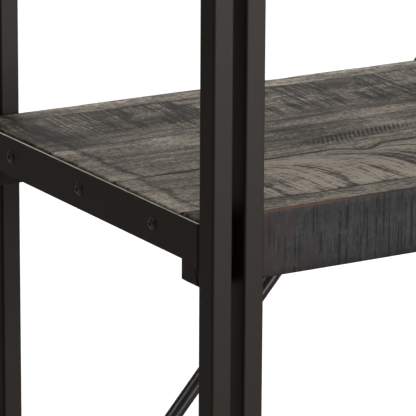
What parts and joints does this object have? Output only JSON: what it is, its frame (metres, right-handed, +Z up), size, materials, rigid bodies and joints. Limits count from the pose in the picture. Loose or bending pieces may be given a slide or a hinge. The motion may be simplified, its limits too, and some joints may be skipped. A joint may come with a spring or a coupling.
{
  "type": "bookcase with adjustable shelves",
  "caption": "Open bookcase: rough timber shelves in steel end brackets, clamped at any height between twin slim tube posts, with a crossed brace behind.",
  "frame": {"origin": "on the floor, under the middle of the bookcase's width and depth", "axes": "+X along the shelves to the right as seen from the front, +Y to the back, +Z up"},
  "size_m": [1.0038, 0.4135, 1.8],
  "materials": {
    "post_steel": "satin brown-black powder coat",
    "bracket_steel": "satin brown-black powder coat",
    "brace_steel": "semi-gloss black paint over drawn bar",
    "bolt_steel": "satin black paint",
    "plank_wood": "rough-sawn timber, weathered grey-brown stain",
    "lip_wood": "rough-sawn timber, charcoal stain worn brown on the edges",
    "lug_nylon": "moulded black nylon",
    "cap_plastic": "moulded black plastic",
    "glide_plastic": "moulded black plastic",
    "screw_steel": "blackened zinc plate"
  },
  "bodies": {
    "frame": {"front_left_outer_post": "post_steel", "front_left_inner_post": "post_steel", "back_left_outer_post": "post_steel", "back_left_inner_post": "post_steel", "front_right_outer_post": "post_steel", "front_right_inner_post": "post_steel", "back_right_outer_post": "post_steel", "back_right_inner_post": "post_steel", "foot_glides": "glide_plastic", "post_caps": "cap_plastic", "post_spacers": "post_steel", "rising_brace_bar": "brace_steel", "falling_brace_bar": "brace_steel", "brace_tabs": "brace_steel", "brace_bolts": "bolt_steel", "brace_rivet": "bolt_steel", "bottom_shelf_planks": "plank_wood", "bottom_front_lip": "lip_wood", "bottom_back_lip": "lip_wood", "bottom_left_bracket": "bracket_steel", "bottom_right_bracket": "bracket_steel", "bottom_shelf_bolts": "bolt_steel", "bottom_clamp_lugs": "lug_nylon", "bottom_clamp_screws": "screw_steel", "top_shelf_planks": "plank_wood", "top_front_lip": "lip_wood", "top_back_lip": "lip_wood", "top_left_bracket": "bracket_steel", "top_right_bracket": "bracket_steel", "top_shelf_bolts": "bolt_steel", "top_clamp_lugs": "lug_nylon", "top_clamp_screws": "screw_steel"},
    "lower_shelf": {"lower_shelf_planks": "plank_wood", "lower_front_lip": "lip_wood", "lower_back_lip": "lip_wood", "lower_left_bracket": "bracket_steel", "lower_right_bracket": "bracket_steel", "lower_shelf_bolts": "bolt_steel", "lower_clamp_lugs": "lug_nylon", "lower_clamp_screws": "screw_steel"},
    "middle_shelf": {"middle_shelf_planks": "plank_wood", "middle_front_lip": "lip_wood", "middle_back_lip": "lip_wood", "middle_left_bracket": "bracket_steel", "middle_right_bracket": "bracket_steel", "middle_shelf_bolts": "bolt_steel", "middle_clamp_lugs": "lug_nylon", "middle_clamp_screws": "screw_steel"},
    "upper_shelf": {"upper_shelf_planks": "plank_wood", "upper_front_lip": "lip_wood", "upper_back_lip": "lip_wood", "upper_left_bracket": "bracket_steel", "upper_right_bracket": "bracket_steel", "upper_shelf_bolts": "bolt_steel", "upper_clamp_lugs": "lug_nylon", "upper_clamp_screws": "screw_steel"}
  },
  "joints": [
    {"name": "lower_shelf_slide", "type": "slide", "parent": "frame", "child": "lower_shelf", "axis": [0, 0, 1], "range_m": [-0.11, 0.11]},
    {"name": "middle_shelf_slide", "type": "slide", "parent": "frame", "child": "middle_shelf", "axis": [0, 0, 1], "range_m": [-0.11, 0.11]},
    {"name": "upper_shelf_slide", "type": "slide", "parent": "frame", "child": "upper_shelf", "axis": [0, 0, 1], "range_m": [-0.11, 0.11]}
  ]
}
